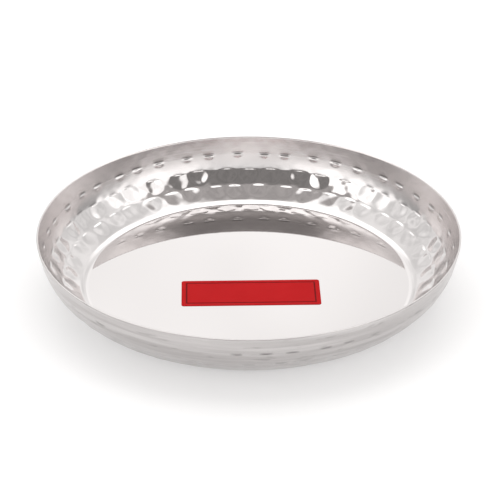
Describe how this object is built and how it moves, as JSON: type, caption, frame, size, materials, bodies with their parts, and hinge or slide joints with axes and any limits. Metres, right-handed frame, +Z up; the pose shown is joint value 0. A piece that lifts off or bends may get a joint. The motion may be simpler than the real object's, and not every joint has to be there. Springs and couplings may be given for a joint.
{
  "type": "snack plate",
  "caption": "Round stainless steel snack plate with a flat polished floor, a bowl-curved wall worked with rows of hammer marks, a steep satin lip and a plain red adhesive label on the floor.",
  "frame": {"origin": "centre of the underside of the flat floor, on the surface the plate stands on", "axes": "+Z up along the plate's round axis, -Y towards the viewer and the label's lower edge, +X to the viewer's right"},
  "size_m": [0.18, 0.18, 0.0257],
  "materials": {
    "steel": "mirror polished floor and wall, satin brushed rim and outside",
    "label_film": "satin red film with an embossed border, left blank"
  },
  "bodies": {
    "root": {"plate": "steel", "label": "label_film"}
  },
  "joints": []
}
